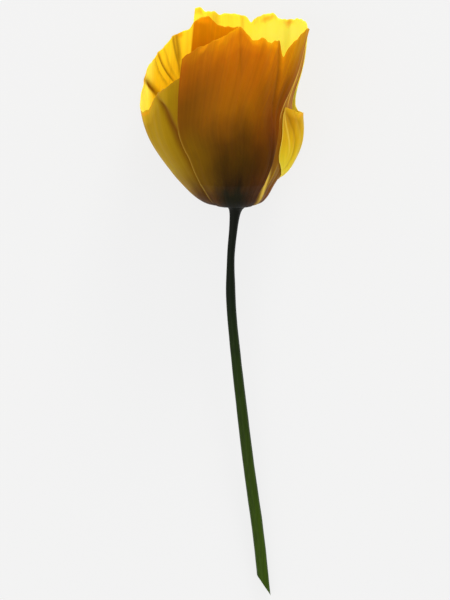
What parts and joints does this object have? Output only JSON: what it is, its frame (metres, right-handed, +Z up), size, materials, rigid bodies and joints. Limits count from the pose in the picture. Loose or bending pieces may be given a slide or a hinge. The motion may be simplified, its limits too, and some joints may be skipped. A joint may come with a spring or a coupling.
{
  "type": "poppy flower",
  "caption": "Cut poppy with a cup of four thin petals round a seed pod and stamens, on a long bare stem, lying on its side.",
  "frame": {"origin": "middle of the bounding box in plan, on the surface that the flower lies on", "axes": "+Y along the flower from the cut end of the stem to the mouth of the cup, +Z up from the surface, +X to the right of the flower seen from above with its cup away from the viewer"},
  "size_m": [0.0436, 0.1504, 0.0401],
  "materials": {
    "stem": "satin",
    "petal_upper": "satin",
    "petal_lower": "satin",
    "petal_side": "satin",
    "pistil": "matte",
    "stamen": "matte"
  },
  "bodies": {
    "root": {"stem": "stem", "petal_upper": "petal_upper", "petal_lower": "petal_lower", "petal_left": "petal_side", "petal_right": "petal_side", "pistil": "pistil", "stamen_01": "stamen", "stamen_02": "stamen", "stamen_03": "stamen", "stamen_04": "stamen", "stamen_05": "stamen", "stamen_06": "stamen", "stamen_07": "stamen", "stamen_08": "stamen", "stamen_09": "stamen", "stamen_10": "stamen", "stamen_11": "stamen", "stamen_12": "stamen", "stamen_13": "stamen", "stamen_14": "stamen", "stamen_15": "stamen", "stamen_16": "stamen", "stamen_17": "stamen", "stamen_18": "stamen", "stamen_19": "stamen", "stamen_20": "stamen", "stamen_21": "stamen", "stamen_22": "stamen", "stamen_23": "stamen", "stamen_24": "stamen", "stamen_25": "stamen", "stamen_26": "stamen", "stamen_27": "stamen", "stamen_28": "stamen", "stamen_29": "stamen", "stamen_30": "stamen", "stamen_31": "stamen", "stamen_32": "stamen", "stamen_33": "stamen", "stamen_34": "stamen", "stamen_35": "stamen", "stamen_36": "stamen", "stamen_37": "stamen", "stamen_38": "stamen"}
  },
  "joints": []
}
